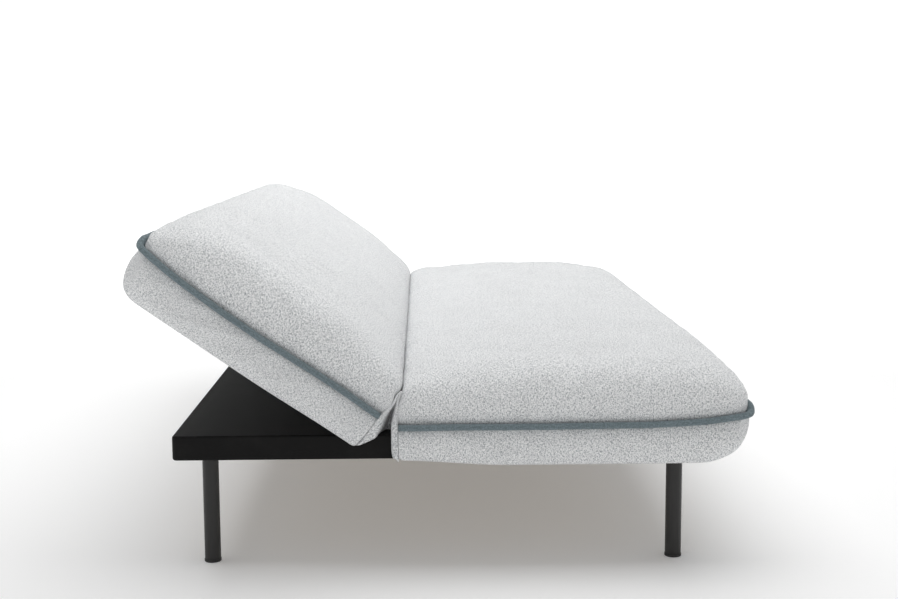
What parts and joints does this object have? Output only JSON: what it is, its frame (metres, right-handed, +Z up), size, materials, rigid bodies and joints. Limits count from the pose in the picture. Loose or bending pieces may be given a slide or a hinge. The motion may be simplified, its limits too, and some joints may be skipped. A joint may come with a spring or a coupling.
{
  "type": "futon sofa bed",
  "caption": "Armless futon sofa bed: piped light grey cushions, a black platform on tube legs, and a back that reclines flat on ratchet hinges.",
  "frame": {"origin": "on the floor, in the middle of the footprint with the back at its lounging angle", "axes": "+X runs along the sofa, -Y is the front edge of the seat, +Z is up"},
  "size_m": [1.9994, 1.1128, 0.6234],
  "materials": {
    "melange_fabric": "light grey melange weave",
    "piping_fabric": "smooth blue-grey cloth",
    "foam": "cut polyurethane foam",
    "webbing": "woven elastic webbing",
    "dust_cloth": "thin felted cloth",
    "black_cloth": "matte black coated cloth",
    "plywood": "raw plywood",
    "pine": "planed softwood",
    "black_tube": "satin black powder coat",
    "black_plastic": "matte moulded plastic",
    "zinc_steel": "zinc-plated steel"
  },
  "bodies": {
    "base": {"seat_cover": "melange_fabric", "seat_foam": "foam", "seat_piping": "piping_fabric", "seat_rail_inner": "pine", "seat_rail_front": "pine", "seat_rail_middle": "pine", "seat_rail_left": "pine", "seat_rail_right": "pine", "seat_webbing": "webbing", "base_skin": "black_cloth", "base_deck": "plywood", "base_rail_front": "pine", "base_rail_rear": "pine", "base_rail_left": "pine", "base_rail_right": "pine", "base_beam_left": "pine", "base_beam_right": "pine", "leg_front_left": "black_tube", "foot_front_left": "black_plastic", "leg_plate_front_left": "black_tube", "corner_block_front_left": "pine", "leg_front_right": "black_tube", "foot_front_right": "black_plastic", "leg_plate_front_right": "black_tube", "corner_block_front_right": "pine", "leg_rear_left": "black_tube", "foot_rear_left": "black_plastic", "leg_plate_rear_left": "black_tube", "corner_block_rear_left": "pine", "leg_rear_right": "black_tube", "foot_rear_right": "black_plastic", "leg_plate_rear_right": "black_tube", "corner_block_rear_right": "pine", "hinge_arm_fixed_left": "zinc_steel", "hinge_bolt_left": "zinc_steel", "pawl_pin_left": "zinc_steel", "pawl_spring_left": "zinc_steel", "gusset_left": "melange_fabric", "hinge_arm_fixed_right": "zinc_steel", "hinge_bolt_right": "zinc_steel", "pawl_pin_right": "zinc_steel", "pawl_spring_right": "zinc_steel", "gusset_right": "melange_fabric"},
    "back": {"back_cover": "melange_fabric", "back_foam": "foam", "back_piping": "piping_fabric", "back_rail_inner": "pine", "back_rail_top": "pine", "back_rail_middle": "pine", "back_rail_left": "pine", "back_rail_right": "pine", "back_webbing": "webbing", "back_dust_cover": "dust_cloth", "hinge_arm_moving_left": "zinc_steel", "hinge_arm_moving_right": "zinc_steel", "ratchet_wheel_left": "zinc_steel", "ratchet_wheel_right": "zinc_steel"},
    "pawl_left": {"pawl_left": "zinc_steel"},
    "pawl_right": {"pawl_right": "zinc_steel"}
  },
  "joints": [
    {"name": "back_recline", "type": "hinge", "parent": "base", "child": "back", "pos_m": [0, 0.082, 0.31], "axis": [1, 0, 0], "range_deg": [-35, 35], "deforming": ["gusset_left", "gusset_right"]},
    {"name": "pawl_lift_left", "type": "hinge", "parent": "base", "child": "pawl_left", "pos_m": [-0.889, 0.06, 0.284], "axis": [1, 0, 0], "range_deg": [0, 12], "stiffness_Nm_per_rad": 0.05, "springref_deg": -5.73, "deforming": ["pawl_spring_left"]},
    {"name": "pawl_lift_right", "type": "hinge", "parent": "base", "child": "pawl_right", "pos_m": [0.889, 0.06, 0.284], "axis": [1, 0, 0], "range_deg": [0, 12], "stiffness_Nm_per_rad": 0.05, "springref_deg": -5.73, "deforming": ["pawl_spring_right"]}
  ]
}
